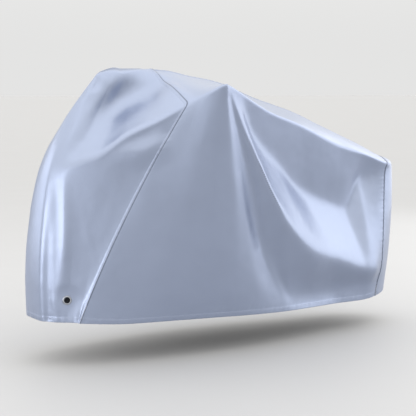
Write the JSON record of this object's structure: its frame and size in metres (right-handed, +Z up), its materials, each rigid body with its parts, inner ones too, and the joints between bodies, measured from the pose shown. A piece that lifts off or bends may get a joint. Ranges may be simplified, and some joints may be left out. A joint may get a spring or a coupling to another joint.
{
  "type": "motorcycle cover",
  "caption": "Fitted outdoor cover of coated cloth for a small motorcycle, hanging in its draped shape, with eyelets near the front hem",
  "frame": {"origin": "under the middle of the cover's box, level with its lowest hem", "axes": "+X towards the rear of the cover, so that its front is towards -X; +Z up; -Y is the side seen in the picture"},
  "size_m": [1.853, 0.7392, 1.0513],
  "materials": {
    "coated_cloth": "satin silver-blue coating on a fine plain weave",
    "eyelet_metal": "plated, satin"
  },
  "bodies": {
    "root": {"front_panel": "coated_cloth", "left_panel": "coated_cloth", "right_panel": "coated_cloth", "rear_panel": "coated_cloth", "left_eyelet_strip": "coated_cloth", "right_eyelet_strip": "coated_cloth", "left_eyelet": "eyelet_metal", "right_eyelet": "eyelet_metal"}
  },
  "joints": []
}
